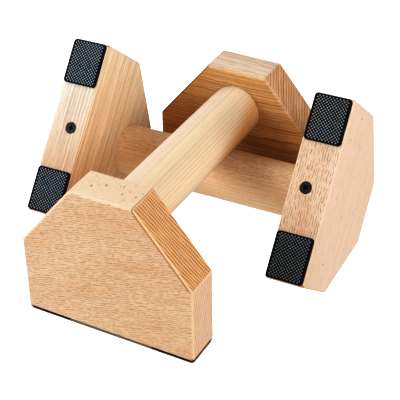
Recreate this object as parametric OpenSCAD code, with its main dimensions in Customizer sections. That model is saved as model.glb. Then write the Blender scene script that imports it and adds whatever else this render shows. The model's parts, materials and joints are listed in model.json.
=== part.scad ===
// A pair of wooden parallettes (low parallel bars for floor training), life size, in millimetres.
// Each stand is two six-sided beech blocks joined by a round grip bar. The bar sits in a blind bore
// in each block and is locked there by a long countersunk screw driven up from the block's base.
// Four rubber pads, stuck to the bases of its blocks, carry each stand.
// One stand is upright. The other lies on a slope of its blocks and its bar passes under the first.
// The origin is on the floor, in the middle of the pair, and the upright bar runs along Y.

/* [End block] */
// Length of the block's base
base_l = 150; // [130:1:180]
// Height of the block without its pads
block_h = 125; // [115:1:140]
// Height of the upright side, below the slope
side_h = 66; // [50:1:75]
// Length of the flat top
top_w = 54; // [40:1:60]
// Thickness of the block, along the bar
block_t = 33; // [30:1:45]
// Size of the bevel on every edge
edge_bevel = 1.2; // [0.5:0.1:3]

/* [Grip bar] */
// Diameter of the bar
bar_d = 45; // [38:1:46]
// Height of the bar's axis above the block's base
bar_axis_h = 88; // [80:1:90]
// Free length of the bar, between the blocks
span = 184; // [184:1:240]
// Depth of the blind bore that holds the bar's end
bar_seat = 27; // [22:1:28]

/* [Pads] */
// Length of a pad, along the block's base
pad_l = 37.5; // [25:0.5:50]
// Width of a pad, across the block
pad_w = 31; // [20:1:31]
// Thickness of a pad
pad_t = 2; // [1.5:0.1:4]
// Radius of the pad's corners
pad_corner_r = 3; // [1:0.5:8]
// Distance from the pad to the end of the base
pad_margin = 1; // [0.5:0.5:10]

/* [Screw] */
// Overall length of the screw
screw_l = 90; // [85:1:95]
// Diameter over the thread
thread_d = 5; // [4:0.5:6]
// Diameter of the countersunk head
head_d = 10; // [8.5:0.5:12]
// Distance from the bar's end of the block to the screw
screw_inset = 13.5; // [10:0.5:16]

/* [Placing] */
// Distance from the middle of the upright stand to the lying bar
cross_y = 60; // [45:1:64]
// Distance that the lying stand is shifted sideways from the upright one
side_shift = 2; // [-6:1:6]
// Angle that the lying bar is off a right angle to the upright one
skew = 1.9; // [-3:0.1:3]

/* [Hidden] */
$fn = 96;
eps = 0.01;
glue_gap = 0.05;                // radial gap round the bar in its bore
seat_gap = 0.5;                 // gap between the bar's end and the bottom of the bore
screw_gap = 0.1;                // radial gap round the screw's thread in its hole
tip_room = 1;                   // hole left past the screw's tip
head_sunk = 0.3;                // depth of the screw's head below the base
head_rim = 0.5;                 // height of the straight rim of the head
core_d = thread_d * 0.68;       // thread root
shank_d = thread_d * 0.8;       // plain shank
tip_l = thread_d * 1.2;
pitch = thread_d * 0.5;
head_cone_h = (head_d - shank_d) / 2;
recess_w = head_d * 0.48;       // across the wings of the cross recess
recess_wing = head_d * 0.13;    // thickness of a wing
recess_deep = head_d * 0.28;
hole_d = thread_d + 2 * screw_gap;
sink_d = head_d + 2 * screw_gap;

bar_z = pad_t + bar_axis_h;     // height of the bar's axis above the floor
bar_l = span + 2 * (bar_seat - seat_gap);
screw_x = span / 2 + screw_inset;
screw_z = pad_t + head_sunk;

// The six corners of the block's outline, anticlockwise from the base, above the block's base.
BLOCK_CORNERS = [
    [base_l / 2, 0], [base_l / 2, side_h], [top_w / 2, block_h],
    [-top_w / 2, block_h], [-base_l / 2, side_h], [-base_l / 2, 0]
];

// The lying stand rests on the slopes at its +Y side: their angle, and the bar's height above them.
slope_angle = atan2(block_h - side_h, (base_l - top_w) / 2);
lying_axis_z = base_l / 2 * sin(slope_angle) + (side_h - bar_axis_h) * cos(slope_angle);
lying_roll = slope_angle - 180;

// Reach of the lying blocks in front of and behind their bar, which centres the pair on the origin.
lying_y = [for (p = BLOCK_CORNERS) p.x * cos(lying_roll) - (p.y - bar_axis_h) * sin(lying_roll)];
lying_x = (min(lying_y) + max(lying_y)) / 2 * sin(skew);
upright_x = lying_x - side_shift;

function along(a, b, t) = a + (b - a) * t / norm(b - a);

// The corners with each one cut back to two points, a bevel's size along either side.
function bevelled(corners, size) = [
    for (i = [0:len(corners) - 1])
        let (p = corners[i], before = corners[(i + len(corners) - 1) % len(corners)],
             after = corners[(i + 1) % len(corners)])
            each [along(p, before, size), along(p, after, size)]
];

// Half outline of the screw, as [radius, height] from the head's face to the tip, on the axis at both ends.
thread_from = screw_l * 0.4;
thread_to = screw_l - tip_l;
ridges = floor((thread_to - thread_from) / pitch);
SCREW_OUTLINE = concat(
    [[0, 0], [head_d / 2, 0], [head_d / 2, head_rim], [shank_d / 2, head_rim + head_cone_h],
     [shank_d / 2, thread_from], [core_d / 2, thread_from + (shank_d - core_d) / 2]],
    [for (i = [1:ridges - 1])
        let (z = thread_from + i * pitch)
            each [[core_d / 2, z - pitch * 0.3], [thread_d / 2, z], [core_d / 2, z + pitch * 0.3]]],
    [[core_d / 2, thread_to], [0, screw_l]]
);

// A stand's own frame: bar along X, base along Y, floor at 0.
module upright() {
    translate([upright_x, 0, 0]) rotate([0, 0, -90]) children();
}

module lying() {
    translate([lying_x, cross_y, lying_axis_z])
        rotate([lying_roll, 0, skew])
            translate([0, 0, -bar_z]) children();
}

// The far end of a stand is the near end turned about the middle.
module far_end() {
    rotate([0, 0, 180]) children();
}

module outline_prism(points, from_x, thickness) {
    translate([from_x, 0, pad_t]) rotate([90, 0, 90]) linear_extrude(thickness) polygon(points);
}

// Square rods laid along the outline's edges on both faces of the block, to be cut away.
module face_bevels() {
    rod = edge_bevel * sqrt(2);
    past = 5;
    for (face_x = [span / 2, span / 2 + block_t])
        for (i = [0:len(BLOCK_CORNERS) - 1]) {
            a = BLOCK_CORNERS[i];
            b = BLOCK_CORNERS[(i + 1) % len(BLOCK_CORNERS)];
            translate([face_x, a.x, pad_t + a.y])
                rotate([atan2(b.y - a.y, b.x - a.x), 0, 0])
                    rotate([0, 45, 0])
                        translate([-rod / 2, -past, -rod / 2]) cube([rod, norm(b - a) + 2 * past, rod]);
        }
}

module end_block() {
    color("#dcae7c") difference() {
        outline_prism(bevelled(BLOCK_CORNERS, edge_bevel), span / 2, block_t);
        face_bevels();
        translate([span / 2 - eps, 0, bar_z])
            rotate([0, 90, 0]) cylinder(d = bar_d + 2 * glue_gap, h = bar_seat + eps);
        translate([screw_x, 0, pad_t - eps]) {
            cylinder(d = hole_d, h = bar_axis_h);
            cylinder(d = sink_d, h = head_sunk + head_rim + 2 * eps);
        }
        translate([screw_x, 0, pad_t + head_sunk + head_rim])
            cylinder(d1 = sink_d, d2 = hole_d, h = (sink_d - hole_d) / 2);
    }
}

module grip_bar() {
    half_l = bar_l / 2;
    bar_r = bar_d / 2;
    hole_top = screw_z + screw_l + tip_room;
    color("#e2bb8b") difference() {
        translate([0, 0, bar_z]) rotate([0, 90, 0]) rotate_extrude() polygon([
            [0, -half_l], [bar_r - edge_bevel, -half_l], [bar_r, edge_bevel - half_l],
            [bar_r, half_l - edge_bevel], [bar_r - edge_bevel, half_l], [0, half_l]
        ]);
        for (x = [-screw_x, screw_x])
            translate([x, 0, bar_z - bar_d]) cylinder(d = hole_d, h = hole_top - bar_z + bar_d);
    }
}

// Cross recess for the driver: two wings that narrow as they go in.
module cross_recess() {
    for (turn = [0, 90])
        rotate([90, 0, turn]) translate([0, 0, -recess_wing / 2]) linear_extrude(recess_wing)
            polygon([[-recess_w / 2, -eps], [recess_w / 2, -eps],
                     [recess_w * 0.2, recess_deep], [-recess_w * 0.2, recess_deep]]);
}

module wood_screw() {
    color("#26221f") translate([screw_x, 0, screw_z]) difference() {
        rotate_extrude() polygon(SCREW_OUTLINE);
        cross_recess();
    }
}

// A pad under the block, on the +Y side of the base for side 1 and on the other for -1.
module rubber_pad(side) {
    inner = [pad_w - 2 * pad_corner_r, pad_l - 2 * pad_corner_r];
    color("#1c1e22")
        translate([span / 2 + block_t / 2, side * (base_l / 2 - pad_margin - pad_l / 2), 0])
            linear_extrude(pad_t) union() {
                square([pad_w, inner.y], center = true);
                square([inner.x, pad_l], center = true);
                for (x = [-0.5, 0.5], y = [-0.5, 0.5])
                    translate([x * inner.x, y * inner.y]) circle(r = pad_corner_r, $fn = 48);
            }
}

upright() end_block();  // upright_front_block
upright() far_end() end_block();  // upright_rear_block
upright() grip_bar();  // upright_grip_bar
upright() wood_screw();  // upright_front_screw
upright() far_end() wood_screw();  // upright_rear_screw
upright() rubber_pad(-1);  // upright_front_left_pad
upright() rubber_pad(1);  // upright_front_right_pad
upright() far_end() rubber_pad(1);  // upright_rear_left_pad
upright() far_end() rubber_pad(-1);  // upright_rear_right_pad

lying() far_end() end_block();  // lying_left_block
lying() end_block();  // lying_right_block
lying() grip_bar();  // lying_grip_bar
lying() far_end() wood_screw();  // lying_left_screw
lying() wood_screw();  // lying_right_screw
lying() far_end() rubber_pad(1);  // lying_left_upper_pad
lying() far_end() rubber_pad(-1);  // lying_left_lower_pad
lying() rubber_pad(-1);  // lying_right_upper_pad
lying() rubber_pad(1);  // lying_right_lower_pad
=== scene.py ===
"""Looks of a pair of wooden parallettes: round beech grip bars between six-sided blocks on rubber pads.

Every piece is built in its stand's own frame, in millimetres: X along the grip bar with the middle of the
stand at 0, Y along the base of the blocks, Z up from the floor. It is then moved into the frame of the CAD,
in metres. A wooden piece carries its own grain coordinates, so its figure stays with it.
"""

import json
import math
from types import SimpleNamespace

import bmesh
import bpy
import numpy as np
from mathutils import Matrix, Vector, noise
from mathutils.geometry import delaunay_2d_cdt

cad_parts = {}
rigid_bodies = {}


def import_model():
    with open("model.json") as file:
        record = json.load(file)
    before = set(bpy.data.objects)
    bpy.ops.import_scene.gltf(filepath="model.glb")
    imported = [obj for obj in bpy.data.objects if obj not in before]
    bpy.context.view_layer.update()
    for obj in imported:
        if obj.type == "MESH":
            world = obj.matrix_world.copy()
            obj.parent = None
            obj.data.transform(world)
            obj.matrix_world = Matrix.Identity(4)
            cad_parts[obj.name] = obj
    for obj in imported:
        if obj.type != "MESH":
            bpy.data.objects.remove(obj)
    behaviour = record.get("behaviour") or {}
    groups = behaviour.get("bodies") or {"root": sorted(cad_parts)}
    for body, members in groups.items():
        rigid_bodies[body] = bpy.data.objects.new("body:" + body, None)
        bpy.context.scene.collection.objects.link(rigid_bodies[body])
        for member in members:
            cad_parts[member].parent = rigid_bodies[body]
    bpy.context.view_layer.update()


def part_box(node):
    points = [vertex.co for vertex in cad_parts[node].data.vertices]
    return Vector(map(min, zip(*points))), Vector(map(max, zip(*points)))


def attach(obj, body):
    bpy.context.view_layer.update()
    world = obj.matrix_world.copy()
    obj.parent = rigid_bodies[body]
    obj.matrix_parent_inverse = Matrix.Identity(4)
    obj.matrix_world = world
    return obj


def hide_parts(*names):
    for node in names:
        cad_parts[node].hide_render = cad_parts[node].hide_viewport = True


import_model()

# ---- sizes, in millimetres, as in the CAD model
BASE_L = 150.0
BLOCK_H = 125.0
SIDE_H = 66.0
TOP_W = 54.0
BLOCK_T = 33.0
BAR_R = 22.5
BAR_AXIS_H = 88.0
SPAN = 184.0
BAR_SEAT = 27.0
SEAT_GAP = 0.5
GLUE_GAP = 0.05
PAD_L = 37.5
PAD_W = 31.0
PAD_T = 2.0
PAD_CORNER_R = 3.0
PAD_MARGIN = 1.0
SCREW_L = 90.0
SCREW_INSET = 13.5
HEAD_R = 5.0
HEAD_SUNK = 0.3
HEAD_RIM = 0.5
THREAD_R = 2.5
SHANK_R = 2.0
CORE_R = 1.7
THREAD_PITCH = 2.5
POINT_L = 6.0
THREAD_FROM = 36.0
HOLE_GAP = 0.1
HOLE_PAST_TIP = 1
HOLE_R = THREAD_R + HOLE_GAP
SINK_R = HEAD_R + HOLE_GAP

METRES = 0.001
INNER_X = SPAN / 2
OUTER_X = INNER_X + BLOCK_T
SCREW_X = INNER_X + SCREW_INSET
BAR_Z = PAD_T + BAR_AXIS_H

# ---- shape details, in millimetres
CORNER_R = 3.0
EDGE_R = 2.3
TOP_EDGE_R = 2.7
SANDING = 0.22
TURNING = 0.05
MOUTH_EASE = 0.5
MOUTH_LIP = 0.01
SINK_EASE = 0.15
SINK_EASE_DEPTH = 0.1
SINK_LIP = 0.05
CUT_PAST = 2.0
BAR_END_EASE = 1.5
KNOB_PITCH = 1.98
KNOB_FOOT = 1.36
KNOB_SHOULDER = 1.08
KNOB_TOP = 0.72
KNOB_H = 0.45
PAD_RIM = 0.75
PAD_EASE = 0.25
PAD_TOP_EASE = 0.12
HEAD_EASE = 0.25
HEAD_EASE_MIDDLE = 0.07
SHANK_STOP = 1
POINT_R = 0.12

# The cross recess: depth from the screw's face, reach of a wing and half its width.
CROSS_RINGS = ((-0.5, 2.55, 0.68), (0.0, 2.4, 0.62), (1.6, 1.5, 0.45), (2.6, 0.7, 0.3))

# Shares: how far along an ease its middle ring is, how far up a knob its shoulder is, and half the part of a
# turn that the thread's ridge takes up.
ROUNDING = 0.3
KNOB_SHOULDER_AT = 0.3
RIDGE_HALF = 0.3

# Waves of the wood's unevenness per millimetre. Round a bar they are per radius.
SANDING_WAVES = 0.03
BAR_WAVES_ALONG = 0.02
BAR_WAVES_ROUND = 1.5

# How far apart in the wood the pieces are cut, per seed, so that no two look alike.
BLOCK_APART = (37.0, 0.0, 11.0)
BARS_APART = (53.0, 0.0, 17.0)

# ---- how finely it is built
EDGE_STEPS = 6
CORNER_STEPS = 6
EDGE_SPACING = 6.0
BAR_SIDES = 128
BAR_RINGS = 60
BAR_END_STEPS = 4
BAR_HOLE_SIDES = 32
BORE_SIDES = 96
SINK_SIDES = 48
SCREW_SIDES = 32
ROWS_PER_TURN = 10
WOOD_SHARP_ANGLE = 35
SHARP_ANGLE = 40

# Settings of Blender's tools, and the lengths and the cosine that count as none or the same.
LARGE_FACES_RULE = 100
INSIDE_ONLY = 1
CDT_EPSILON = 1e-6
WELD = 1e-4
NOT_ZERO = 1e-12
SAME_WAY = 0.9999

# A normal whose cosine with the nearest flat face is this far below 1 is fully on an eased edge.
EDGE_TURN = 0.09


def symmetric(right):
    """An outline's corners, from those of its right half from the bottom up."""
    return [Vector((x, y)) for x, y in right] + [Vector((-x, y)) for x, y in reversed(right)]


BLOCK_CORNERS = symmetric([(BASE_L / 2, 0), (BASE_L / 2, SIDE_H), (TOP_W / 2, BLOCK_H)])
PAD_CORNERS = symmetric([(PAD_W / 2, -PAD_L / 2), (PAD_W / 2, PAD_L / 2)])


# ---- where the stands are
def centre(node):
    low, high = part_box(node)
    return (Vector(low) + Vector(high)) / 2


def stand_place(near_pads, far_pads, bar):
    """The matrix from a stand's own frame, in millimetres, to the CAD frame, from its pads and its bar."""
    near = (centre(near_pads[0]) + centre(near_pads[1])) / 2
    far = (centre(far_pads[0]) + centre(far_pads[1])) / 2
    middle = (near + far) / 2
    x_axis = (near - far).normalized()
    z_axis = (centre(bar) - middle).normalized()
    y_axis = z_axis.cross(x_axis)
    origin = middle - z_axis * (PAD_T * METRES / 2)
    axes = Matrix((x_axis, y_axis, z_axis)).transposed()
    return Matrix.Translation(origin) @ axes.to_4x4() @ Matrix.Scale(METRES, 4)


NEAR_END = Matrix.Identity(4)
FAR_END = Matrix.Rotation(math.pi, 4, "Z")


# ---- mesh tools
def ring_faces(rows, count):
    """The faces between neighbouring rings of count points each."""
    faces = []
    for row in range(rows - 1):
        for i in range(count):
            a = row * count + i
            b = row * count + (i + 1) % count
            faces.append((a, b, b + count, a + count))
    return faces


def loft(name, rings):
    """A closed mesh through rings with equally many points, with a flat face over each end."""
    count = len(rings[0])
    points = [point for ring in rings for point in ring]
    faces = ring_faces(len(rings), count)
    faces.append(tuple(range(count)))
    faces.append(tuple(range(len(points) - count, len(points))))
    return solid(name, points, faces)


def solid(name, points, faces):
    """A new object of these points and faces, every face turned outwards and shaded smooth."""
    mesh = bpy.data.meshes.new(name)
    mesh.from_pydata([tuple(p) for p in points], [], faces)
    bm = bmesh.new()
    bm.from_mesh(mesh)
    bmesh.ops.recalc_face_normals(bm, faces=bm.faces)
    bm.to_mesh(mesh)
    bm.free()
    obj = bpy.data.objects.new(name, mesh)
    bpy.context.scene.collection.objects.link(obj)
    return obj


def circle(radius, sides):
    return [
        Vector((math.cos(2 * math.pi * i / sides), math.sin(2 * math.pi * i / sides))) * radius
        for i in range(sides)
    ]


def lathe(name, outline, sides, matrix):
    """A turned solid from (height, radius) pairs, its axis set by the matrix."""
    rings = []
    for height, radius in outline:
        rings.append([matrix @ Vector((p.x, p.y, height)) for p in circle(radius, sides)])
    return loft(name, rings)


def carve(piece, *cutters):
    """Cuts the cutters out of the piece for good."""
    for cutter in cutters:
        cut = piece.modifiers.new("cut", "BOOLEAN")
        cut.operation = "DIFFERENCE"
        cut.solver = "EXACT"
        cut.object = cutter
    graph = bpy.context.evaluated_depsgraph_get()
    mesh = bpy.data.meshes.new_from_object(piece.evaluated_get(graph))
    piece.modifiers.clear()
    piece.data = mesh
    for cutter in cutters:
        bpy.data.objects.remove(cutter)


def shade(piece, sharp_angle):
    """Smooth shading that keeps flat faces flat and edges over the given angle crisp."""
    piece.data.polygons.foreach_set("use_smooth", [True] * len(piece.data.polygons))
    piece.data.set_sharp_from_angle(angle=math.radians(sharp_angle))
    weights = piece.modifiers.new("flat faces stay flat", "WEIGHTED_NORMAL")
    weights.mode = "FACE_AREA"
    weights.weight = LARGE_FACES_RULE
    weights.keep_sharp = True


def arrays(mesh):
    """The mesh's points, and at each point the normal of the faces round it weighted by their area."""
    points = np.zeros(len(mesh.vertices) * 3)
    mesh.vertices.foreach_get("co", points)
    points = points.reshape(-1, 3)
    normals = np.zeros_like(points)
    for face in mesh.polygons:
        weight = np.array(face.normal) * face.area
        for i in face.vertices:
            normals[i] += weight
    lengths = np.linalg.norm(normals, axis=1, keepdims=True)
    return points, normals / np.maximum(lengths, NOT_ZERO)


def store(mesh, name, kind, values):
    attribute = mesh.attributes.new(name, kind, "POINT")
    key = "vector" if kind == "FLOAT_VECTOR" else "value"
    attribute.data.foreach_set(key, np.asarray(values, np.float32).ravel())


def place(piece, matrix, body, material, slot_name, *nodes):
    """Moves a finished piece into the CAD frame, gives it its material, hides the CAD parts it stands for
    and hangs it on its body.
    """
    piece.data.transform(matrix)
    piece.data.materials.clear()
    piece.data.materials.append(material)
    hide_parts(*nodes)
    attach(piece, body)


# ---- wood: where the grain runs in a piece
def grain_axes(along, ring_turn):
    """Rows: along the grain, across the growth rings and along them. The rings' turn is in degrees."""
    along = Vector(along).normalized()
    side = Vector((1, 0, 0)) if abs(along.x) < 0.5 else Vector((0, 1, 0))
    side = (side - along * side.dot(along)).normalized()
    turned = Matrix.Rotation(math.radians(ring_turn), 3, along) @ side
    return Matrix((along, turned, along.cross(turned)))


def store_painted_shade(piece, start, finish):
    """Stores how far each point is along the way from start, where the painted shade begins, to finish."""
    points, _ = arrays(piece.data)
    way = np.array(finish, float) - np.array(start, float)
    share = (points - np.array(start)) @ way / (way @ way)
    store(piece.data, "stain", "FLOAT", np.clip(share, 0, 1))


def store_grain(piece, axes, offset, flats):
    """Stores where each point is in the wood, in millimetres, where it faces, and its share of an edge."""
    points, normals = arrays(piece.data)
    turn = np.array(axes)
    store(piece.data, "grain", "FLOAT_VECTOR", points @ turn.T + offset)
    store(piece.data, "facing", "FLOAT_VECTOR", np.abs(normals @ turn.T))
    nearest = np.max(normals @ np.array(flats).T, axis=1) if flats else np.ones(len(points))
    store(piece.data, "edge", "FLOAT", np.clip((1 - nearest) / EDGE_TURN, 0, 1))


# ---- the end blocks
def outline_points(corners, radius):
    """Centres and outward directions round an anticlockwise outline whose corners are rounded."""
    spots = []
    for i, corner in enumerate(corners):
        before = corner - corners[i - 1]
        after = corners[(i + 1) % len(corners)] - corner
        start = math.atan2(-before.x, before.y)
        turn = (math.atan2(-after.x, after.y) - start) % (2 * math.pi)
        middle = start + turn / 2
        pull = radius / math.cos(turn / 2)
        hub = corner - Vector((math.cos(middle), math.sin(middle))) * pull
        for step in range(CORNER_STEPS + 1):
            angle = start + turn * step / CORNER_STEPS
            spots.append((hub, Vector((math.cos(angle), math.sin(angle)))))
    return spots


def edge_points(corners, radius, spacing):
    """The outline's spots, with more of them along its straight edges."""
    spots = outline_points(corners, radius)
    full = []
    for i, (hub, out) in enumerate(spots):
        full.append((hub, out))
        next_hub, next_out = spots[(i + 1) % len(spots)]
        run = (next_hub - hub).length
        if run > 2 * spacing and out.dot(next_out) > SAME_WAY:
            count = int(run / spacing)
            for k in range(1, count):
                full.append((hub.lerp(next_hub, k / count), out))
    return full


def block_mesh(name, seed):
    """A six-sided block with hand-eased edges, before its holes are cut."""
    spots = edge_points(BLOCK_CORNERS, CORNER_R, EDGE_SPACING)

    def edge_radius(hub, out, side):
        softer = max(0.0, out.y)
        sanded = noise.noise(Vector((hub.x * SANDING_WAVES, hub.y * SANDING_WAVES, seed + side)))
        return EDGE_R + (TOP_EDGE_R - EDGE_R) * softer + SANDING * sanded

    def ring(face_x, inwards, share):
        points = []
        turn = share * math.pi / 2
        for hub, out in spots:
            radius = edge_radius(hub, out, inwards)
            spot = hub + out * (CORNER_R - radius * (1 - math.cos(turn)))
            x = face_x + inwards * radius * (1 - math.sin(turn))
            points.append((x, spot.x, spot.y + PAD_T))
        return points

    rings = [ring(INNER_X, 1, 1 - k / EDGE_STEPS) for k in range(EDGE_STEPS + 1)]
    rings += [ring(OUTER_X, -1, k / EDGE_STEPS) for k in range(EDGE_STEPS + 1)]
    return loft(name, rings)


def screw_hole(name):
    """The clearance hole and countersink for the screw, up from the base into the bar's end."""
    outline = [
        (-CUT_PAST, SINK_R + SINK_EASE),
        (-SINK_LIP, SINK_R + SINK_EASE),
        (SINK_EASE_DEPTH, SINK_R),
        (HEAD_SUNK + HEAD_RIM, SINK_R),
        (HEAD_SUNK + HEAD_RIM + SINK_R - HOLE_R, HOLE_R),
        (SCREW_L + HOLE_PAST_TIP + HEAD_SUNK, HOLE_R),
    ]
    return lathe(name, outline, SINK_SIDES, Matrix.Translation((SCREW_X, 0, PAD_T)))


def bore(name):
    """The blind bore for the bar's end, its mouth slightly eased."""
    radius = BAR_R + GLUE_GAP
    outline = [
        (-CUT_PAST, radius + MOUTH_EASE + MOUTH_LIP),
        (-MOUTH_LIP, radius + MOUTH_EASE),
        (MOUTH_EASE * ROUNDING, radius + MOUTH_EASE * ROUNDING),
        (MOUTH_EASE, radius),
        (BAR_SEAT, radius),
    ]
    along_bar = Matrix.Translation((INNER_X, 0, BAR_Z)) @ Matrix.Rotation(math.pi / 2, 4, "Y")
    return lathe(name, outline, BORE_SIDES, along_bar)


def block_flats():
    """Outward directions of the block's eight flat faces."""
    flats = [Vector((1, 0, 0)), Vector((-1, 0, 0))]
    for i, corner in enumerate(BLOCK_CORNERS):
        along = BLOCK_CORNERS[(i + 1) % len(BLOCK_CORNERS)] - corner
        flats.append(Vector((0, along.y, -along.x)).normalized())
    return flats


def build_block(name, grain, seed):
    """A bored block, which stores how far in from its outer face it is and where its dark edge lines go."""
    piece = block_mesh(name, seed)
    carve(piece, bore(name + "_bore"), screw_hole(name + "_hole"))
    shade(piece, WOOD_SHARP_ANGLE)
    store_grain(piece, grain_axes(*grain), seed * np.array(BLOCK_APART), block_flats())
    points, _ = arrays(piece.data)
    store(piece.data, "heart", "FLOAT", (OUTER_X - points[:, 0]) / BLOCK_T)
    low = points[:, 2] < PAD_T + CORNER_R
    high = points[:, 2] > PAD_T + SIDE_H
    store(piece.data, "burn", "FLOAT", (points[:, 1] > 0) & (low | high))
    return piece


# ---- the grip bars
def bar_stops():
    """The places of a bar's rings along its length, each with how far the eased end takes the ring in."""
    half = SPAN / 2 + BAR_SEAT - SEAT_GAP
    end = [(-half, BAR_END_EASE)]
    for k in range(1, BAR_END_STEPS + 1):
        angle = k * math.pi / (2 * BAR_END_STEPS)
        end.append((-half + BAR_END_EASE * (1 - math.cos(angle)), BAR_END_EASE * (1 - math.sin(angle))))
    straight = []
    for k in range(1, BAR_RINGS):
        straight.append((-half + BAR_END_EASE + (2 * half - 2 * BAR_END_EASE) * k / BAR_RINGS, 0.0))
    return end + straight + [(-x, ease) for x, ease in reversed(end)]


def build_bar(name, grain, seed):
    """A turned bar, faintly uneven from sanding, with eased ends and two screw holes."""
    rings = []
    for x, ease in bar_stops():
        ring = []
        for p in circle(1.0, BAR_SIDES):
            spot = Vector((x * BAR_WAVES_ALONG, p.x * BAR_WAVES_ROUND + seed, p.y * BAR_WAVES_ROUND))
            radius = BAR_R - ease - TURNING * (0.5 + 0.5 * noise.noise(spot))
            ring.append((x, p.x * radius, BAR_Z + p.y * radius))
        rings.append(ring)
    piece = loft(name, rings)
    holes = []
    for x in (-SCREW_X, SCREW_X):
        outline = [(BAR_Z - 2 * BAR_R, HOLE_R), (PAD_T + HEAD_SUNK + SCREW_L + HOLE_PAST_TIP, HOLE_R)]
        holes.append(lathe(name + "_hole", outline, BAR_HOLE_SIDES, Matrix.Translation((x, 0, 0))))
    carve(piece, *holes)
    shade(piece, WOOD_SHARP_ANGLE)
    store_grain(piece, grain_axes(*grain), seed * np.array(BARS_APART), None)
    return piece


# ---- the rubber pads
def inside_pad(point, inset):
    """True if a point of the pad's face is at least inset from its rounded outline."""
    reach_x = max(abs(point.x) - (PAD_W / 2 - PAD_CORNER_R), 0)
    reach_y = max(abs(point.y) - (PAD_L / 2 - PAD_CORNER_R), 0)
    return math.hypot(reach_x, reach_y) <= PAD_CORNER_R - inset


def knob_places():
    """Each knob's middle, and its foot's corners from there. The rows of knobs run along both diagonals."""
    diagonal = Matrix.Rotation(math.pi / 4, 2)
    reach = int(PAD_L / KNOB_PITCH)
    half = KNOB_FOOT / 2
    feet = [diagonal @ Vector(foot) for foot in ((half, half), (-half, half), (-half, -half), (half, -half))]
    for i in range(-reach, reach + 1):
        for j in range(-reach, reach + 1):
            middle = diagonal @ Vector((i * KNOB_PITCH, j * KNOB_PITCH))
            if all(inside_pad(middle + foot, PAD_RIM) for foot in feet):
                yield middle, feet


def pad_rings():
    """The pad's outline from its stuck face down to its ground, which the knobs stand on."""
    spots = outline_points(PAD_CORNERS, PAD_CORNER_R)

    def ring(inset, z):
        return [(*(hub + out * (PAD_CORNER_R - inset)), z) for hub, out in spots]

    return [
        ring(PAD_TOP_EASE, PAD_T),
        ring(0.0, PAD_T - PAD_TOP_EASE),
        ring(0.0, KNOB_H + PAD_EASE),
        ring(PAD_EASE * ROUNDING, KNOB_H + PAD_EASE * ROUNDING),
        ring(PAD_EASE, KNOB_H),
    ]


def pad_ground(outline, knobs):
    """The pad's ground within its outline, less the knobs' feet: its points and faces."""
    flat = [Vector(p[:2]) for p in outline]
    squares = [list(range(len(flat)))]
    for middle, feet in knobs:
        squares.append(list(range(len(flat), len(flat) + len(feet))))
        flat += [middle + foot for foot in feet]
    found, _, parts, _, _, origins = delaunay_2d_cdt(flat, [], squares, INSIDE_ONLY, CDT_EPSILON)
    points = [(p.x, p.y, KNOB_H) for p in found]
    return points, [part for part, origin in zip(parts, origins) if origin == [0]]


def knob(middle, feet):
    """A small square knob that tapers to its top, open at its foot: its points and faces."""
    points = []
    for width, z in ((KNOB_FOOT, KNOB_H), (KNOB_SHOULDER, KNOB_H * KNOB_SHOULDER_AT), (KNOB_TOP, 0.0)):
        points += [(*(middle + foot * width / KNOB_FOOT), z) for foot in feet]
    count = len(feet)
    top = tuple(range(len(points) - count, len(points)))
    return points, ring_faces(len(points) // count, count) + [top]


def build_pad(name, side):
    """A moulded pad: a plain rim round a field of small square knobs, in one closed mesh."""
    rings = pad_rings()
    count = len(rings[0])
    points = [p for ring in rings for p in ring]
    faces = [tuple(range(count))] + ring_faces(len(rings), count)
    knobs = list(knob_places())
    for more_points, more_faces in [pad_ground(rings[-1], knobs)] + [knob(*spot) for spot in knobs]:
        first = len(points)
        points += more_points
        faces += [tuple(first + i for i in face) for face in more_faces]

    piece = solid(name, points, faces)
    bm = bmesh.new()
    bm.from_mesh(piece.data)
    bmesh.ops.remove_doubles(bm, verts=bm.verts, dist=WELD)
    bmesh.ops.recalc_face_normals(bm, faces=bm.faces)
    bm.to_mesh(piece.data)
    bm.free()
    middle = Vector((INNER_X + BLOCK_T / 2, side * (BASE_L / 2 - PAD_MARGIN - PAD_L / 2), 0))
    piece.data.transform(Matrix.Translation(middle))
    shade(piece, SHARP_ANGLE)
    store(piece.data, "rubber", "FLOAT_VECTOR", arrays(piece.data)[0])
    return piece


# ---- the screws
def cross_outline(reach, half):
    """A cross with wings of this reach and half width."""
    quarter = [(reach, -half), (reach, half), (half, half)]
    outline = []
    for _ in range(4):
        outline += quarter
        quarter = [(-y, x) for x, y in quarter]
    return outline


def cross_cutter(name, turn):
    """A tapered cross for the driver."""
    rings = []
    for depth, reach, half in CROSS_RINGS:
        rings.append([(x, y, depth) for x, y in cross_outline(reach, half)])
    cutter = loft(name, rings)
    cutter.data.transform(Matrix.Rotation(math.radians(turn), 4, "Z"))
    return cutter


def plain_rings():
    """The screw's head and plain shank."""
    outline = [
        (0.0, HEAD_R - HEAD_EASE),
        (HEAD_EASE_MIDDLE, HEAD_R - HEAD_EASE_MIDDLE),
        (HEAD_EASE, HEAD_R),
        (HEAD_RIM, HEAD_R),
        (HEAD_RIM + HEAD_R - SHANK_R, SHANK_R),
        (THREAD_FROM - SHANK_STOP, SHANK_R),
    ]
    return [[(p.x, p.y, z) for p in circle(radius, SCREW_SIDES)] for z, radius in outline]


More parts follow.
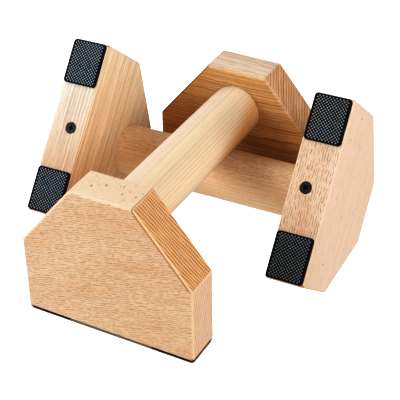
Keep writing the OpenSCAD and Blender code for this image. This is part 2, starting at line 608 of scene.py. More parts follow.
def thread_rings():
    """The screw's helical thread, which rises from the shank and tapers to the point."""
    rings = []
    rows = int((SCREW_L - THREAD_FROM) / (THREAD_PITCH / ROWS_PER_TURN))
    for row in range(rows + 1):
        z = THREAD_FROM + (SCREW_L - THREAD_FROM) * row / rows
        taper = min(1.0, (SCREW_L - z) / POINT_L)
        start = min(1.0, (z - THREAD_FROM) / THREAD_PITCH)
        core = POINT_R + (CORE_R - POINT_R) * taper
        ring = []
        for i, p in enumerate(circle(1.0, SCREW_SIDES)):
            phase = (z / THREAD_PITCH - i / SCREW_SIDES) % 1.0
            ridge = max(0.0, 1 - abs(phase - 0.5) / RIDGE_HALF)
            radius = core + (THREAD_R - CORE_R) * ridge * start * taper
            ring.append((p.x * radius, p.y * radius, z))
        rings.append(ring)
    return rings


def build_screw(name, turn):
    """A countersunk wood screw, head down, with a cross recess and a real helical thread."""
    piece = loft(name, plain_rings() + thread_rings())
    carve(piece, cross_cutter(name + "_cross", turn))
    piece.data.transform(Matrix.Translation((SCREW_X, 0, PAD_T + HEAD_SUNK)))
    shade(piece, SHARP_ANGLE)
    store(piece.data, "metal", "FLOAT_VECTOR", arrays(piece.data)[0])
    return piece


# ---- material tools
def toned(colour, shares):
    """The colour with each of its parts multiplied by a share."""
    return tuple(part * share for part, share in zip(colour, shares))


class Shader:
    """The node tree of a material or a world, with a short call for each kind of node."""

    def __init__(self, owner):
        owner.use_nodes = True
        self.owner = owner
        self.tree = owner.node_tree
        self.tree.nodes.clear()

    def node(self, kind, inputs, output=0, **settings):
        """One output of a new node, whose inputs are other nodes' outputs or plain values."""
        new = self.tree.nodes.new("ShaderNode" + kind)
        for key, value in settings.items():
            setattr(new, key, value)
        for key, value in inputs.items():
            if isinstance(value, bpy.types.NodeSocket):
                self.tree.links.new(value, new.inputs[key])
            else:
                new.inputs[key].default_value = value
        return new.outputs[output]

    def stored(self, name, output="Vector"):
        """What the mesh stores under this name: a vector, or with Fac a single number."""
        return self.node("Attribute", {}, output, attribute_name=name)

    def parts(self, vector):
        """The vector's X, Y and Z, by name."""
        return self.node("SeparateXYZ", {0: vector}).node.outputs

    def math(self, operation, a, b=0.0, c=0.0):
        return self.node("Math", {0: a, 1: b, 2: c}, operation=operation)

    def times(self, a, b):
        return self.math("MULTIPLY", a, b)

    def over(self, a, b):
        return self.math("DIVIDE", a, b)

    def plus(self, a, b, share):
        """a, and a share of b."""
        return self.math("MULTIPLY_ADD", b, share, a)

    def to_and_fro(self, value, gap):
        """Rises from 0 to 1 over one gap and falls back over the next."""
        return self.math("PINGPONG", self.over(value, gap), 1.0)

    def scaled(self, vector, sizes):
        """The vector divided by sizes, so that a texture of scale 1 has features of those sizes."""
        factors = tuple(1 / size for size in sizes)
        return self.node("VectorMath", {0: vector, 1: factors}, operation="MULTIPLY")

    def noise(self, vector, detail=2.0, roughness=0.5):
        inputs = {"Vector": vector, "Scale": 1.0, "Detail": detail, "Roughness": roughness}
        return self.node("TexNoise", inputs, "Fac")

    def cells(self, vector):
        """How far off the nearest of many scattered spots is, and that spot's own number from 0 to 1."""
        distance = self.node("TexVoronoi", {"Vector": vector, "Scale": 1.0}, "Distance")
        return distance, self.node("SeparateColor", {0: distance.node.outputs["Color"]})

    def stretch(self, value, low, high, to_low=0.0, to_high=1.0):
        """The value with its range low to high made to_low to to_high, and held within that."""
        inputs = {"Value": value, "From Min": low, "From Max": high, "To Min": to_low, "To Max": to_high}
        return self.node("MapRange", inputs, clamp=True)

    def profile(self, value, stops):
        """A share that follows (value, share) stops."""
        output = self.node("ValToRGB", {"Fac": value})
        elements = output.node.color_ramp.elements
        first, *middle, last = [(at, (share, share, share, 1)) for at, share in stops]
        elements[0].position, elements[0].color = first
        elements[1].position, elements[1].color = last
        for at, grey in middle:
            elements.new(at).color = grey
        return output

    def mix(self, share, a, b, blend="MIX"):
        new = self.tree.nodes.new("ShaderNodeMix")
        new.data_type = "RGBA"
        new.blend_type = blend
        for socket, value in ((new.inputs[0], share), (new.inputs[6], a), (new.inputs[7], b)):
            if isinstance(value, bpy.types.NodeSocket):
                self.tree.links.new(value, socket)
            elif isinstance(value, tuple):
                socket.default_value = (*value, 1)
            else:
                socket.default_value = value
        return new.outputs[2]

    def bump(self, height, distance, strength):
        return self.node("Bump", {"Height": height, "Distance": distance, "Strength": strength}, "Normal")

    def show(self, surface, kind):
        """Puts the surface out, as a Material or a World, and returns that."""
        out = self.tree.nodes.new("ShaderNodeOutput" + kind)
        self.tree.links.new(surface, out.inputs["Surface"])
        return self.owner

    def finish(self, **inputs):
        """The material, with one surface that has these inputs, each named with _ for a space."""
        named = {key.replace("_", " "): value for key, value in inputs.items()}
        return self.show(self.node("BsdfPrincipled", named), "Material")


# ---- beech: sizes and ranges
# Sizes are in millimetres: along the grain, across the growth rings and along them.
DRIFT_SIZE = (150, 26, 40)
WAVE_SIZE = (15, 9, 9)
CURL_SIZE = (5, 6, 5)
LINE_SIZE = (150, 1.3, 45)
RAY_SIZE = (8, 14, 1.7)
RAY_BREAK_SIZE = (4, 3, 1.6)
TICK_SIZE = (3.4, 9, 4)
TICK_PATCH_SIZE = (24, 30, 14)
END_PATCH_SIZE = (30, 5, 9)
FIBRE_SIZE = (12, 0.8, 0.8)
PORE_SIZE = (2.6, 0.4, 0.4)
TONE_SIZE = (85, 26, 22)

# How far the rays stray, in millimetres, and how many times wander and ripple the rings do.
RAY_CURL = 2.4
RAY_WAVE = 2.6
DRIFT_REACH = 2
WAVE_REACH = 4
END_RIPPLE = 1.4
CROSS_LINE_WAVE = 0.8

# Half the distance from one line to the next, in millimetres.
SMALL_RAY_GAP = 1.0
END_LINE_GAP = 1.35
CROSS_LINE_GAP = 0.75

# The relief's depth in metres, and how much of it each figure rises, or sinks if negative.
BUMP_DEPTH = 0.00008
PORE_RISE = 0.3
FIBRE_RISE = 0.4
RAY_RISE = -0.3
RING_RISE = -0.2

# A range turns a noise, a distance or a facing into a share. Its first two numbers are the values that
# become 0 and 1, or that become its last two numbers.
YEAR_RANGE = (0.35, 0.62, 0.15, 1.0)
RING_FACES = (0.4, 0.8, 0.22, 1.0)
LINE_RANGE = (0.42, 0.64)
RAY_CORE = (0.1, 0.26, 1.0, 0.0)
RAY_RANK = (0.5, 0.95)
SMALL_RAY_CORE = (0.45, 0.9)
RAY_BREAK = (0.38, 0.56)
FLECK_FACES = (0.35, 0.95, 0.1, 1.0)
TICK_CORE = (0.1, 0.24, 1.0, 0.0)
TICK_FACES = (0.75, 0.95)
TICK_PATCH = (0.48, 0.58)
TICK_RANK_SPAN = 0.2
END_LINE = (0.4, 0.8)
END_PATCH = (0.3, 0.6, 0.55, 1.0)
END_LINES_ON_SIDE = (0.92, 0.96, 1.0, 0.5)
END_LINES_ON_EDGE = (0.0, 0.5, 1.0, 0.0)
TONE_RANGE = (0.32, 0.68)
FIBRE_RANGE = (0.42, 0.68)
PORE_RANGE = (0.56, 0.76)
GLOSS_RANGE = (0.2, 0.8, 0.45, 0.6)
INNER_HALF = (0.3, 0.7)
OUTER_RINGS = (0.0, 1.0, 0.45, 1.0)
RADIAL_FACES = (0.6, 0.72)
END_FACES = (0.4, 0.6)
SIDE_FACES = (0.925, 0.96)
SLOPE_ON_EDGE = (0.2, 0.8, 1.0, 0.25)
EDGE_LINE_RIM = (0.05, 0.35)
EDGE_LINE_START = (0.05, 0.14)
EDGE_LINE_STOP = (0.68, 0.58)
EDGE_LINE_LEAN = -0.25

# Where a growth ring darkens, from 0 to 1 across its width, and how dark it is there.
RING_PROFILE = ((0.0, 0.5), (0.14, 0.0), (0.45, 0.05), (0.68, 0.6), (0.86, 1.0), (1.0, 0.5))
YEARS_ALIKE = 2.7

# Depths of the marks that every piece has alike, and their tones as shares of the marks' or the slope's.
SMALL_RAY_DEPTH = 0.82
PORE_DEPTH = 0.16
CROSS_LINE_DEPTH = 0.6
EDGE_LINE_DEPTH = 0.8
RAY_TONE = (0.6, 0.6, 0.6)
TICK_TONE = (0.5, 0.5, 0.5)
END_LINE_TONE = (0.38, 0.25, 0.15)


# ---- beech: its figure
def wood_sockets(s, wander, ripple):
    """What is stored of the wood at a point, and its place strayed so that no figure runs quite straight."""
    grain = s.stored("grain")
    at = s.parts(grain)
    facing = s.parts(s.stored("facing"))
    drift = s.noise(s.scaled(grain, DRIFT_SIZE))
    wave = s.noise(s.scaled(grain, WAVE_SIZE))
    curl = s.noise(s.scaled(grain, CURL_SIZE), detail=1.0)
    strayed = s.plus(at["Y"], drift, DRIFT_REACH * wander)
    strayed_ray = s.plus(s.plus(at["Z"], curl, RAY_CURL), wave, RAY_WAVE)
    return SimpleNamespace(
        grain=grain,
        at=at,
        end=facing["X"],
        across=facing["Y"],
        along_rays=facing["Z"],
        edge=s.stored("edge", "Fac"),
        wave=wave,
        strayed=strayed,
        waved=s.plus(strayed, wave, WAVE_REACH * ripple),
        strayed_ray=strayed_ray,
        bent=s.node("CombineXYZ", {0: at["X"], 1: at["Y"], 2: strayed_ray}),
    )


def growth_rings(s, wood, width):
    """The dark late edge of each ring, darker in some years, and faint where the rings lie flat."""
    ring = s.profile(s.math("FRACT", s.over(wood.waved, width)), RING_PROFILE)
    years = s.node("CombineXYZ", {0: s.over(wood.waved, YEARS_ALIKE * width)})
    ring = s.times(ring, s.stretch(s.noise(years, detail=1.0), *YEAR_RANGE))
    return s.times(ring, s.stretch(wood.along_rays, *RING_FACES))


def fine_lines(s, wood):
    """Fine lines that follow the rings."""
    run, width, breadth = LINE_SIZE
    sheet = s.node("CombineXYZ", {
        0: s.over(wood.waved, width),
        1: s.over(wood.at["X"], run),
        2: s.over(wood.at["Z"], breadth),
    })
    return s.stretch(s.noise(sheet, roughness=0.7), *LINE_RANGE)


def rays(s, wood):
    """Thin upright sheets, cut as dashes: a few strong ones, and small ones evenly all over."""
    distance, rank = s.cells(s.scaled(wood.bent, RAY_SIZE))
    strong = s.times(s.stretch(distance, *RAY_CORE), s.stretch(rank, *RAY_RANK))
    level = s.to_and_fro(wood.strayed_ray, SMALL_RAY_GAP)
    broken = s.noise(s.scaled(wood.grain, RAY_BREAK_SIZE), detail=1.0)
    small = s.times(s.stretch(level, *SMALL_RAY_CORE), s.stretch(broken, *RAY_BREAK))
    return strong, small


def ray_ticks(s, wood, rarity):
    """The same rays cut along their length: sparse thin ticks across the grain, in patches."""
    distance, rank = s.cells(s.scaled(wood.grain, TICK_SIZE))
    tick = s.times(s.stretch(distance, *TICK_CORE), s.stretch(rank, rarity, rarity + TICK_RANK_SPAN))
    tick = s.times(tick, s.stretch(wood.along_rays, *TICK_FACES))
    patch = s.noise(s.scaled(wood.grain, TICK_PATCH_SIZE), detail=1.0)
    return s.times(tick, s.stretch(patch, *TICK_PATCH))


def end_lines(s, wood, ripple):
    """The cut ends: even lines along the rings, crossed by fainter and closer ones, in patches."""
    calmer = s.plus(wood.strayed, wood.wave, END_RIPPLE * ripple)
    even = s.to_and_fro(calmer, END_LINE_GAP)
    close = s.to_and_fro(s.plus(wood.at["Z"], wood.wave, CROSS_LINE_WAVE), CROSS_LINE_GAP)
    lines = s.plus(s.stretch(even, *END_LINE), s.stretch(close, *END_LINE), CROSS_LINE_DEPTH)
    patch = s.noise(s.scaled(wood.bent, END_PATCH_SIZE))
    lines = s.times(lines, s.stretch(patch, *END_PATCH))
    lines = s.times(lines, s.stretch(wood.end, *END_LINES_ON_SIDE))
    return s.times(lines, s.stretch(wood.edge, *END_LINES_ON_EDGE))


def dark_edge_lines(s, wood):
    """A dark line where an eased edge turns on to the end grain, on the edges marked for it."""
    onto_end = s.plus(wood.end, wood.along_rays, EDGE_LINE_LEAN)
    dark_line = s.times(s.stretch(wood.edge, *EDGE_LINE_RIM), s.stretch(onto_end, *EDGE_LINE_START))
    dark_line = s.times(dark_line, s.stretch(wood.end, *EDGE_LINE_STOP))
    return s.times(dark_line, s.stored("burn", "Fac"))


def beech(name, pale, warm, radial, slope, mark, rings, lines, flecks, fibres, wander, ripple, painted_shade_tint,
          ticks=(0.0, 0.5), side=None, outer=None, eased=(1.06, 1.1, 1.14), sawn=0.8):
    """Beech as a solid figure: growth rings, rays, fibres, pores and slow changes of tone.

    pale, warm: the two tones between which the wood drifts.
    radial, slope: its tones where a surface follows the rays and where it cuts the grain.
    mark: the tone of its dark marks. A depth, from 0 to 1, is how far the wood takes on that tone.
    rings: the growth rings' width, in millimetres, and their depth.
    lines, flecks, fibres: the depths of the fine lines along the rings, of the ray flecks and of the fibres.
    wander, ripple: how far the rings stray over a long and over a short distance, in millimetres.
    painted_shade_tint: what the colour is multiplied by towards the piece's shaded end, as painted shade.
    ticks: the depth of the ticks across the grain, and how rare they are, from 0 to 1.
    side: its tone where a surface cuts the grain square, if that is not the slope's.
    outer: the radial tone of a block's outer half; its inner half keeps radial, darker, as painted shade.
    eased: what the colour is multiplied by on the eased edges: paler, partly wear and partly painted
    highlight, or darker, as painted shade.
    sawn: the depth of the lines on the cut ends.
    """
    s = Shader(bpy.data.materials.new(name))
    wood = wood_sockets(s, wander, ripple)
    ring_width, ring_depth = rings
    tick_depth, tick_rarity = ticks
    ring = growth_rings(s, wood, ring_width)
    ray, small_ray = rays(s, wood)
    flat_cut = s.stretch(wood.across, *FLECK_FACES)
    fibre = s.noise(s.scaled(wood.bent, FIBRE_SIZE), detail=3.0, roughness=0.6)
    pore = s.noise(s.scaled(wood.grain, PORE_SIZE))
    tone = s.noise(s.scaled(wood.grain, TONE_SIZE), detail=3.0)
    ends = s.stretch(wood.end, *END_FACES)

    # Painted shade: a block's inner half, towards the bar, keeps the darker radial tone.
    if outer:
        inner = s.stretch(s.stored("heart", "Fac"), *INNER_HALF)
        radial = s.mix(inner, outer, radial)
        ring = s.times(ring, s.stretch(inner, *OUTER_RINGS))
    body = s.mix(s.stretch(tone, *TONE_RANGE), pale, warm)
    body = s.mix(s.stretch(wood.along_rays, *RADIAL_FACES), body, radial)
    body = s.mix(s.times(ends, s.stretch(wood.edge, *SLOPE_ON_EDGE)), body, slope)
    body = s.mix(s.stretch(wood.end, *SIDE_FACES), body, side or slope)

    marks = (
        (ring, ring_depth, mark),
        (fine_lines(s, wood), lines, mark),
        (s.stretch(fibre, *FIBRE_RANGE), fibres, mark),
        (s.times(ray, flat_cut), flecks, toned(mark, RAY_TONE)),
        (s.times(small_ray, flat_cut), SMALL_RAY_DEPTH * flecks, mark),
        (ray_ticks(s, wood, tick_rarity), tick_depth, toned(mark, TICK_TONE)),
        (s.stretch(pore, *PORE_RANGE), PORE_DEPTH, mark),
        (s.times(end_lines(s, wood, ripple), ends), sawn, toned(slope, END_LINE_TONE)),
    )
    for where, depth, colour in marks:
        body = s.mix(s.times(where, depth), body, colour)

    dark_line = dark_edge_lines(s, wood)
    # Paler eased edges, partly wear and partly painted highlight; with a tint below 1, painted shade.
    painted_light = s.times(wood.edge, s.math("SUBTRACT", 1.0, dark_line))
    body = s.mix(painted_light, body, eased, blend="MULTIPLY")
    body = s.mix(s.times(dark_line, EDGE_LINE_DEPTH), body, mark)
    # Painted shade: darker and redder towards the end where the piece lies in shade.
    body = s.mix(s.stored("stain", "Fac"), body, painted_shade_tint, blend="MULTIPLY")

    height = s.times(pore, PORE_RISE)
    for figure, rise in ((fibre, FIBRE_RISE), (ray, RAY_RISE), (ring, RING_RISE)):
        height = s.plus(height, figure, rise)
    return s.finish(
        Base_Color=body,
        Roughness=s.stretch(fibre, *GLOSS_RANGE),
        Specular_IOR_Level=0.3,
        Normal=s.bump(height, BUMP_DEPTH, 0.8),
    )


# ---- rubber and black steel
# Sizes are in millimetres, and ranges are as for beech.
RUBBER_CLOUD_SIZE = (7, 7, 7)
RUBBER_SKIN_SIZE = (0.22, 0.22, 0.22)
RUBBER_HIGHLIGHT_BREAK_SIZE = (1.7, 1.7, 1.7)
RUBBER_CLOUD_RANGE = (0.3, 0.7)
RUBBER_HIGHLIGHT_BREAK_RANGE = (0.3, 0.65, 0.45, 1.0)
RUBBER_GLOSS_RANGE = (0.2, 0.8, 0.6, 0.8)
RUBBER_DUST = (1.8, 1.8, 1.8)
RUBBER_BUMP_DEPTH = 0.00003
TOPS_BEGIN = KNOB_H * 0.4
TOPS_FULL = KNOB_H * 0.05
STEEL_CLOUD_SIZE = (1.8, 1.8, 1.8)
STEEL_GRIT_SIZE = (0.12, 0.12, 0.12)
STEEL_CLOUD_RANGE = (0.35, 0.7)
STEEL_GLOSS_RANGE = (0.3, 0.7, 0.42, 0.6)
STEEL_BUMP_DEPTH = 0.00002
THICK_COAT = (0.004, 0.0037, 0.0034)
THIN_COAT = (0.02, 0.015, 0.011)


def rubber(name, ground, top):
    """Matt black rubber with a fine moulded skin, its knob tops paler in patches as painted highlight."""
    s = Shader(bpy.data.materials.new(name))
    where = s.stored("rubber")
    cloud = s.noise(s.scaled(where, RUBBER_CLOUD_SIZE), detail=3.0, roughness=0.55)
    skin = s.noise(s.scaled(where, RUBBER_SKIN_SIZE), roughness=0.6)
    highlight_break = s.noise(s.scaled(where, RUBBER_HIGHLIGHT_BREAK_SIZE), roughness=0.6)
    # Painted highlight: the knob tops take the top tone, in patches.
    raised = s.stretch(s.parts(where)["Z"], TOPS_BEGIN, TOPS_FULL)
    painted_light = s.times(raised, s.stretch(highlight_break, *RUBBER_HIGHLIGHT_BREAK_RANGE))
    dull = s.mix(s.stretch(cloud, *RUBBER_CLOUD_RANGE), ground, toned(ground, RUBBER_DUST))
    return s.finish(
        Base_Color=s.mix(painted_light, dull, top),
        Roughness=s.stretch(skin, *RUBBER_GLOSS_RANGE),
        Specular_IOR_Level=0.08,
        Normal=s.bump(skin, RUBBER_BUMP_DEPTH, 0.7),
    )


def black_steel(name):
    """Black phosphated steel, browner where the coat is thin."""
    s = Shader(bpy.data.materials.new(name))
    where = s.stored("metal")
    cloud = s.noise(s.scaled(where, STEEL_CLOUD_SIZE), detail=3.0, roughness=0.6)
    grit = s.noise(s.scaled(where, STEEL_GRIT_SIZE), roughness=0.6)
    return s.finish(
        Base_Color=s.mix(s.stretch(cloud, *STEEL_CLOUD_RANGE), THICK_COAT, THIN_COAT),
        Metallic=0.35,
        Roughness=s.stretch(grit, *STEEL_GLOSS_RANGE),
        Specular_IOR_Level=0.35,
        Normal=s.bump(grit, STEEL_BUMP_DEPTH, 0.6),
    )


# ---- the two stands
# A stand's ends as its nodes are named, each with the names of its pads towards +Y (1) and -Y (-1) when that
# end is turned to +X.
STANDS = {
    "upright": {
        "body": "upright_stand",
        "near": ("front", {1: "right", -1: "left"}),
        "far": ("rear", {1: "left", -1: "right"}),
    },
    "lying": {
        "body": "lying_stand",
        "near": ("right", {1: "lower", -1: "upper"}),
        "far": ("left", {1: "upper", -1: "lower"}),
    },
}

# Direction of the grain in the piece, and how far the growth rings are turned about it, in degrees.
GRAIN = {
    "upright_front_block": ((0.0, 1.0, 0.24), 12),
    "upright_rear_block": ((0.0, 1.0, -0.03), 60),
    "lying_right_block": ((0.0, 1.0, 0.0), 84),
    "lying_left_block": ((0.0, 1.0, 0.01), 55),
    "upright_grip_bar": ((1.0, 0.01, 0.0), 128),
    "lying_grip_bar": ((1.0, 0.0, 0.01), 40),
}

# Painted shade: where each piece begins to turn darker and redder, towards the side where it lies in shade,
# and where that is full, in the stand's own frame, with a block's taken at the near end.
PAINTED_SHADE_WAY = {
    "upright_front_block": ((0, 20, 100), (0, 75, 50)),
    "upright_rear_block": ((0, 0, 90), (0, 45, 10)),
    "lying_right_block": ((0, -10, 0), (0, 35, -60)),
    "lying_left_block": ((0, 40, 0), (0, -60, 0)),
    "upright_grip_bar": ((-25, 15, 88), (-28.5, 23, 79)),
    "lying_grip_bar": ((40, 0, 90), (-92, 0, 90)),
}

WOOD = {
    "upright_front_block": beech(
        "front_block_beech",
        pale=(0.745, 0.555, 0.38), warm=(0.70, 0.45, 0.265), radial=(0.639, 0.49, 0.345),
        slope=(0.74, 0.43, 0.205), side=(0.69, 0.51, 0.37), mark=(0.36, 0.14, 0.04),
        rings=(3.4, 0.08), lines=0.08, flecks=0.85, fibres=0.25, ticks=(1.0, 0.3), wander=3.0, ripple=0.15,
        painted_shade_tint=(0.98, 0.94, 0.88)),
    # Its dark radial tone, on its inner face towards the bar, and its eased tint below 1 are painted shade.
    "upright_rear_block": beech(
        "rear_block_beech",
        pale=(0.68, 0.555, 0.425), warm=(0.65, 0.51, 0.38), radial=(0.64, 0.36, 0.145),
        slope=(0.69, 0.43, 0.235), side=(0.581, 0.318, 0.147), mark=(0.19, 0.06, 0.012),
        rings=(2.4, 0.7), lines=0.45, flecks=0.1, fibres=0.3, wander=4.0, ripple=0.8,
        outer=(0.90, 0.60, 0.36), painted_shade_tint=(0.93, 0.74, 0.5), eased=(0.95, 0.76, 0.55)),
    "lying_right_block": beech(
        "right_block_beech",
        pale=(0.659, 0.514, 0.379), warm=(0.61, 0.408, 0.274), radial=(0.704, 0.519, 0.381),
        slope=(0.659, 0.389, 0.208), mark=(0.28, 0.11, 0.035),
        rings=(3.6, 0.12), lines=0.12, flecks=1.0, fibres=0.2, ticks=(0.9, 0.72), wander=4.0, ripple=0.4,
        painted_shade_tint=(0.85, 0.80, 0.68), sawn=0.5),
    "lying_left_block": beech(
        "left_block_beech",
        pale=(0.70, 0.70, 0.63), warm=(0.69, 0.65, 0.545), radial=(0.88, 0.70, 0.475),
        slope=(0.678, 0.408, 0.219), mark=(0.26, 0.105, 0.032),
        rings=(1.7, 0.75), lines=0.35, flecks=0.25, fibres=0.25, wander=2.5, ripple=0.15,
        painted_shade_tint=(0.88, 0.55, 0.335), sawn=0.5),
    "upright_grip_bar": beech(
        "upright_bar_beech",
        pale=(0.625, 0.525, 0.41), warm=(0.64, 0.51, 0.37), radial=(0.71, 0.565, 0.39),
        slope=(0.62, 0.389, 0.197), mark=(0.45, 0.20, 0.06),
        rings=(3.0, 0.4), lines=0.12, flecks=0.2, fibres=0.12, wander=1.2, ripple=0.1,
        painted_shade_tint=(0.80, 0.56, 0.36)),
    "lying_grip_bar": beech(
        "lying_bar_beech",
        pale=(0.96, 0.69, 0.45), warm=(0.92, 0.63, 0.38), radial=(0.95, 0.67, 0.41),
        slope=(0.62, 0.37, 0.186), mark=(0.32, 0.12, 0.035),
        rings=(4.5, 0.15), lines=0.12, flecks=0.65, fibres=0.2, ticks=(0.3, 0.5), wander=4.0, ripple=0.4,
        painted_shade_tint=(0.96, 0.88, 0.80)),
}

# One rubber in lit and shaded copies: each pad's knob-top highlight is painted as bright as the light on
# that pad.
LEFT_RUBBER = rubber("left_pad_rubber", (0.003, 0.0035, 0.0045), (0.31, 0.38, 0.45))
RUBBER = {
    "upright": rubber("upright_pad_rubber", (0.003, 0.003, 0.003), (0.10, 0.11, 0.12)),
    "lying_left_upper": LEFT_RUBBER,
    "lying_left_lower": LEFT_RUBBER,
    "lying_right_upper": rubber("upper_pad_rubber", (0.003, 0.003, 0.003), (0.26, 0.29, 0.31)),
    "lying_right_lower": rubber("lower_pad_rubber", (0.003, 0.003, 0.003), (0.195, 0.22, 0.23)),
}
STEEL = black_steel("screw_steel")

# How far each screw is driven round, in degrees, by its block.
SCREW_TURNS = {"front": 20, "rear": 65, "right": 38, "left": 8}
SEEDS_APART = 4


def build_stand(stand, facts, seed):
    """A stand's nine pieces. Each wooden piece takes its own seed, from this one upwards."""
    near, near_sides = facts["near"]
    far, far_sides = facts["far"]
    body = facts["body"]
    bar_node = f"{stand}_grip_bar"
    matrix = stand_place(
        [f"{stand}_{near}_{side}_pad" for side in near_sides.values()],
        [f"{stand}_{far}_{side}_pad" for side in far_sides.values()],
        bar_node,
    )
    bar = build_bar(f"beech_{bar_node}", GRAIN[bar_node], seed)
    store_painted_shade(bar, *PAINTED_SHADE_WAY[bar_node])
    place(bar, matrix, body, WOOD[bar_node], "bar_wood", bar_node)
    for end, sides, turned in ((near, near_sides, NEAR_END), (far, far_sides, FAR_END)):
        seed += 1
        where = matrix @ turned
        block_node = f"{stand}_{end}_block"
        block = build_block(f"beech_{block_node}", GRAIN[block_node], seed)
        store_painted_shade(block, *PAINTED_SHADE_WAY[block_node])
        place(block, where, body, WOOD[block_node], "block_wood", block_node)
        screw_node = f"{stand}_{end}_screw"
        screw = build_screw(f"steel_{screw_node}", SCREW_TURNS[end])
        place(screw, where, body, STEEL, "screw_metal", screw_node)
        for side, word in sides.items():
            black = RUBBER.get(f"{stand}_{end}_{word}", RUBBER["upright"])
            pad_node = f"{stand}_{end}_{word}_pad"
            pad = build_pad(f"rubber_{pad_node}", side)
            place(pad, where, body, black, "pad_rubber", pad_node)


for number, (stand, facts) in enumerate(STANDS.items()):
    build_stand(stand, facts, 1 + SEEDS_APART * number)


# ---- floor, light and camera
# Distances are in metres, angles in degrees, and the lens and sensor in millimetres.
FLOOR_REACH = 6.0
FLOOR_T = 0.05
FLOOR_SIDES = 96
FLOOR_TONE = (0.5, 0.5, 0.5, 1.0)
LIGHT_DISTANCE = 2.0

# The world's strength at the walls in front, and its shares from straight below and from behind.
LIGHT_LEVEL = 1.24
LIGHT_FLOOR = 0.55
LIGHT_BEHIND = 0.45

CAMERA_AZIMUTH = 28.88
CAMERA_ELEVATION = 34.35
CAMERA_ROLL = -1.03
CAMERA_DISTANCE = 1.0184
CAMERA_AIM = Vector((0.0124, -0.0026, 0.0578))
CAMERA_LENS = 111.8
CAMERA_SENSOR = 36.0

# The contrast curve: how bright a linear value is shown.
CONTRAST = ((0.03, 0.012), (0.12, 0.075), (0.35, 0.31), (0.6, 0.6), (0.8, 0.83))
ALL_CHANNELS = 3
WHITE = (1.0, 1.0, 1.0, 1.0)

# Over which part of a direction, from -1 to 1, the world's light fades, towards the top, floor and back.
UPWARDS = (0.0, 0.7)
DOWNWARDS = (-0.8, 0.0)
BACKWARDS = (0.2, 0.8)

# The lights on the object: azimuth, elevation, size, and power in watts.
OBJECT_LIGHTS = {
    "right": (80, 32, 1.2, 34),
    "left": (-60, 30, 1.2, 35),
    "behind left": (-120, 45, 1.2, 21),
    "top": (10, 80, 1.8, 4),
}

# The lights on the floor: azimuth, elevation, softness and strength.
FLOOR_LIGHTS = {
    "floor key": (CAMERA_AZIMUTH, 80, 8, 7.2),
    "floor left": (-91, 60, 30, 2.2),
    "floor right": (149, 60, 30, 2.2),
}


def build_floor():
    """A plain pale floor, a flat disc well past the view, which throws no light back on the object."""
    rings = [[(p.x, p.y, z) for p in circle(FLOOR_REACH, FLOOR_SIDES)] for z in (-FLOOR_T, 0.0)]
    floor = loft("floor", rings)
    s = Shader(bpy.data.materials.new("pale_floor"))
    surface = s.node("BsdfDiffuse", {"Color": FLOOR_TONE})
    floor.data.materials.append(s.show(surface, "Material"))
    floor.visible_diffuse = False
    floor.visible_glossy = False
    return floor


def build_world():
    """Soft light from all round, strongest from the walls in front. The camera sees plain white walls."""
    s = Shader(bpy.data.worlds.new("studio"))
    towards = s.parts(s.node("TexCoord", {}, "Generated"))
    above = s.stretch(towards["Z"], *UPWARDS, LIGHT_LEVEL, 0.0)
    below = s.stretch(towards["Z"], *DOWNWARDS, LIGHT_FLOOR, 1.0)
    behind = s.stretch(towards["Y"], *BACKWARDS, 1.0, LIGHT_BEHIND)
    soft = s.node("Background", {"Color": WHITE, "Strength": s.times(s.times(above, below), behind)})
    wall = s.node("Background", {"Color": WHITE})
    seen = s.node("LightPath", {}, "Is Camera Ray")
    bpy.context.scene.world = s.show(s.node("MixShader", {0: seen, 1: soft, 2: wall}), "World")


def light_group(name, state, objects):
    """A collection that tells a light to work on these objects alone, or with EXCLUDE on all the others."""
    chosen = bpy.data.collections.new(name)
    for i, obj in enumerate(objects):
        chosen.objects.link(obj)
        chosen.collection_objects[i].light_linking.link_state = state
    return chosen


def floor_shadow_casters():
    """The upright stand's blocks and pads, the only pieces that leave a shadow on the floor."""
    names = ("beech_upright", "rubber_upright")
    return [obj for obj in bpy.data.objects if obj.name.startswith(names) and "bar" not in obj.name]


def towards_light(azimuth, elevation):
    """The direction of an azimuth, in degrees from -Y towards +X, and an elevation in degrees."""
    a = math.radians(azimuth)
    e = math.radians(elevation)
    return Vector((math.sin(a) * math.cos(e), -math.cos(a) * math.cos(e), math.sin(e)))


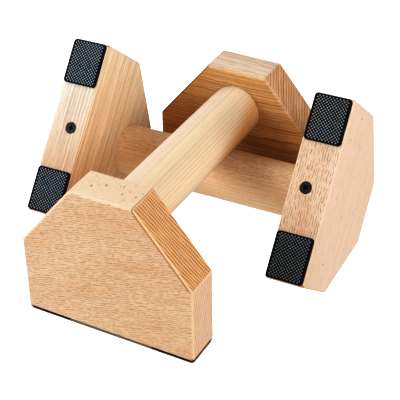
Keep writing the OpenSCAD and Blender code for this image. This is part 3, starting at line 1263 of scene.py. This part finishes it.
def hang_light(lamp, azimuth, elevation, lit):
    """Hangs the lamp in this direction, turned to the middle of the scene, to light only what is in lit."""
    towards = towards_light(azimuth, elevation)
    light = bpy.data.objects.new(lamp.name, lamp)
    light.location = towards * LIGHT_DISTANCE
    light.rotation_euler = towards.to_track_quat("Z", "Y").to_euler()
    light.light_linking.receiver_collection = lit
    bpy.context.scene.collection.objects.link(light)
    return light


def add_object_lights(floor):
    """Square soft lights that shine on the object and leave the floor alone."""
    lit = light_group("all but the floor", "EXCLUDE", [floor])
    for name, (azimuth, elevation, size, power) in OBJECT_LIGHTS.items():
        lamp = bpy.data.lights.new(name, "AREA")
        lamp.shape = "SQUARE"
        lamp.size = size
        lamp.energy = power
        hang_light(lamp, azimuth, elevation, lit)


def add_floor_lights(floor):
    """Even lights on the floor alone, in which only a few pieces leave a shadow."""
    lit = light_group("floor alone", "INCLUDE", [floor])
    casters = light_group("shadows on the floor", "INCLUDE", floor_shadow_casters())
    for name, (azimuth, elevation, softness, strength) in FLOOR_LIGHTS.items():
        lamp = bpy.data.lights.new(name, "SUN")
        lamp.angle = math.radians(softness)
        lamp.energy = strength
        light = hang_light(lamp, azimuth, elevation, lit)
        light.light_linking.blocker_collection = casters


def build_camera():
    camera = bpy.data.cameras.new("camera")
    camera.lens = CAMERA_LENS
    camera.sensor_width = CAMERA_SENSOR
    obj = bpy.data.objects.new("camera", camera)
    turn = (
        Matrix.Rotation(math.radians(CAMERA_AZIMUTH), 4, "Z")
        @ Matrix.Rotation(math.radians(90 - CAMERA_ELEVATION), 4, "X")
        @ Matrix.Rotation(math.radians(CAMERA_ROLL), 4, "Z")
    )
    backwards = turn @ Vector((0, 0, 1))
    obj.matrix_world = Matrix.Translation(CAMERA_AIM + backwards * CAMERA_DISTANCE) @ turn
    bpy.context.scene.collection.objects.link(obj)
    bpy.context.scene.camera = obj


def set_contrast():
    """The contrast of a studio photograph: deeper darks and clearer lights."""
    view = bpy.context.scene.view_settings
    view.view_transform = "Standard"
    view.use_curve_mapping = True
    curve = view.curve_mapping.curves[ALL_CHANNELS]
    for linear, shown in CONTRAST:
        curve.points.new(linear, shown)
    view.curve_mapping.update()


ground = build_floor()
build_world()
add_object_lights(ground)
add_floor_lights(ground)
build_camera()
set_contrast()
